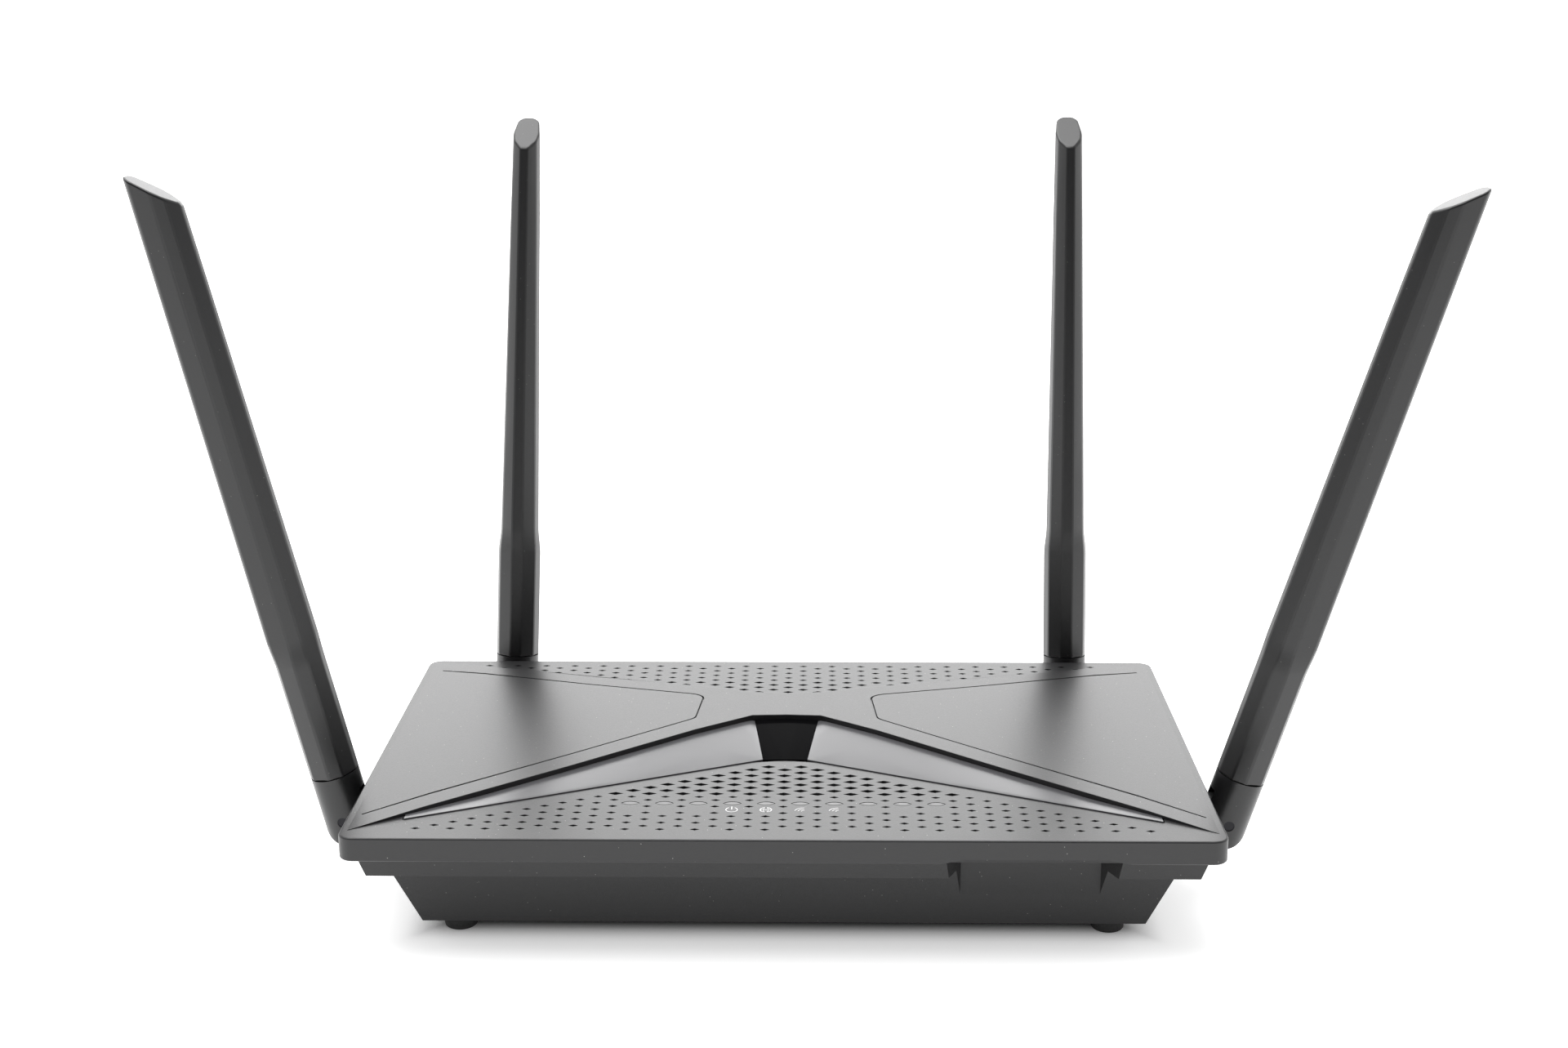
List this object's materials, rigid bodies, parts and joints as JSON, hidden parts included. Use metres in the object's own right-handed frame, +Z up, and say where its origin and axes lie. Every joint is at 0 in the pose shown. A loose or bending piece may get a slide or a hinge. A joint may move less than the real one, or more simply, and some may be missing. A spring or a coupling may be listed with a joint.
{
  "type": "wireless router",
  "caption": "Flat angular desktop wireless router with a raised ridge across its lid, slanted vent fields, an indicator row, folding antennas at the sides and back, and sockets in the rear",
  "frame": {"origin": "middle of the case's underside, halfway between the two wall-mounting holes", "axes": "X across the case along its longest side, Y from the front with the indicators to the back with the sockets, Z up"},
  "size_m": [0.3483, 0.1802, 0.2045],
  "materials": {
    "lid_plastic": "fine satin texture",
    "trim_gloss": "polished piano finish",
    "window_black": "polished dark tint",
    "clear_plastic": "clear light guide",
    "case_plastic": "fine spark texture",
    "rubber": "soft moulded rubber",
    "screw_steel": "zinc plated",
    "board_green": "solder mask",
    "chip_black": "moulded epoxy",
    "heatsink_aluminium": "extruded",
    "shield_tin": "tinned",
    "capacitor_sleeve": "shrink sleeve",
    "led_white": "moulded lens",
    "switch_grey": "moulded",
    "socket_black": "moulded",
    "socket_blue": "moulded",
    "contact_gold": "gold plated",
    "button_plastic": "fine texture",
    "lead_black": "cable jacket",
    "antenna_plastic": "fine satin texture",
    "pin_steel": "turned",
    "radiator_copper": "copper tube"
  },
  "bodies": {
    "casing": {"top_cover": "lid_plastic", "front_trim": "trim_gloss", "trim_window": "window_black", "light_guide": "clear_plastic", "bottom_case": "case_plastic", "rubber_feet": "rubber", "case_screws": "screw_steel", "main_board": "board_green", "board_screws": "screw_steel", "processor": "chip_black", "heatsink": "heatsink_aluminium", "memory_chip": "chip_black", "flash_chip": "chip_black", "switch_chip": "chip_black", "radio_shield_left": "shield_tin", "radio_shield_right": "shield_tin", "board_capacitors": "capacitor_sleeve", "line_transformers": "chip_black", "indicator_leds": "led_white", "button_switches": "switch_grey", "lan_sockets": "socket_black", "wan_socket": "socket_blue", "socket_contacts": "contact_gold", "power_jack": "socket_black", "lead_plugs": "contact_gold", "lead_left": "lead_black", "lead_right": "lead_black", "lead_back_left": "lead_black", "lead_back_right": "lead_black"},
    "power_button": {"power_button": "button_plastic"},
    "pairing_button": {"pairing_button": "button_plastic"},
    "reset_plunger": {"reset_plunger": "button_plastic"},
    "left_swivel": {"left_elbow": "antenna_plastic"},
    "left_antenna": {"left_pin": "pin_steel", "left_fork": "antenna_plastic", "left_sleeve": "antenna_plastic", "left_radiator": "radiator_copper"},
    "right_swivel": {"right_elbow": "antenna_plastic"},
    "right_antenna": {"right_pin": "pin_steel", "right_fork": "antenna_plastic", "right_sleeve": "antenna_plastic", "right_radiator": "radiator_copper"},
    "back_left_swivel": {"back_left_elbow": "antenna_plastic"},
    "back_left_antenna": {"back_left_pin": "pin_steel", "back_left_fork": "antenna_plastic", "back_left_sleeve": "antenna_plastic", "back_left_radiator": "radiator_copper"},
    "back_right_swivel": {"back_right_elbow": "antenna_plastic"},
    "back_right_antenna": {"back_right_pin": "pin_steel", "back_right_fork": "antenna_plastic", "back_right_sleeve": "antenna_plastic", "back_right_radiator": "radiator_copper"}
  },
  "joints": [
    {"name": "left_swing", "type": "hinge", "parent": "casing", "child": "left_swivel", "pos_m": [-0.123, -0.022, 0.0179], "axis": [-1, 0, 0], "range_deg": [-86.5, 93.5]},
    {"name": "left_tilt", "type": "hinge", "parent": "left_swivel", "child": "left_antenna", "pos_m": [-0.123, -0.022, 0.0179], "axis": [0, -0.9981, -0.0611], "range_deg": [-12.3, 77.7]},
    {"name": "right_swing", "type": "hinge", "parent": "casing", "child": "right_swivel", "pos_m": [0.123, -0.022, 0.0179], "axis": [-1, 0, 0], "range_deg": [-86.5, 93.5]},
    {"name": "right_tilt", "type": "hinge", "parent": "right_swivel", "child": "right_antenna", "pos_m": [0.123, -0.022, 0.0179], "axis": [0, 0.9981, 0.0611], "range_deg": [-15.9, 74.1]},
    {"name": "back_left_swing", "type": "hinge", "parent": "casing", "child": "back_left_swivel", "pos_m": [-0.089, 0.08, 0.0179], "axis": [0, 1, 0], "range_deg": [-92, 58]},
    {"name": "back_left_tilt", "type": "hinge", "parent": "back_left_swivel", "child": "back_left_antenna", "pos_m": [-0.089, 0.08, 0.0179], "axis": [-0.9994, 0, 0.0349], "range_deg": [-6.8, 83.2]},
    {"name": "back_right_swing", "type": "hinge", "parent": "casing", "child": "back_right_swivel", "pos_m": [0.089, 0.08, 0.0179], "axis": [0, -1, 0], "range_deg": [-90.5, 59.5]},
    {"name": "back_right_tilt", "type": "hinge", "parent": "back_right_swivel", "child": "back_right_antenna", "pos_m": [0.089, 0.08, 0.0179], "axis": [-1, 0, -0.0087], "range_deg": [-6.8, 83.2]},
    {"name": "power_button_press", "type": "slide", "parent": "casing", "child": "power_button", "axis": [0, -1, 0], "range_m": [0, 0.001], "stiffness_N_per_m": 1500, "springref_m": -0.0008},
    {"name": "pairing_button_press", "type": "slide", "parent": "casing", "child": "pairing_button", "axis": [0, -1, 0], "range_m": [0, 0.001], "stiffness_N_per_m": 1500, "springref_m": -0.0008},
    {"name": "reset_plunger_press", "type": "slide", "parent": "casing", "child": "reset_plunger", "axis": [0, -1, 0], "range_m": [0, 0.001], "stiffness_N_per_m": 1500, "springref_m": -0.0008}
  ]
}
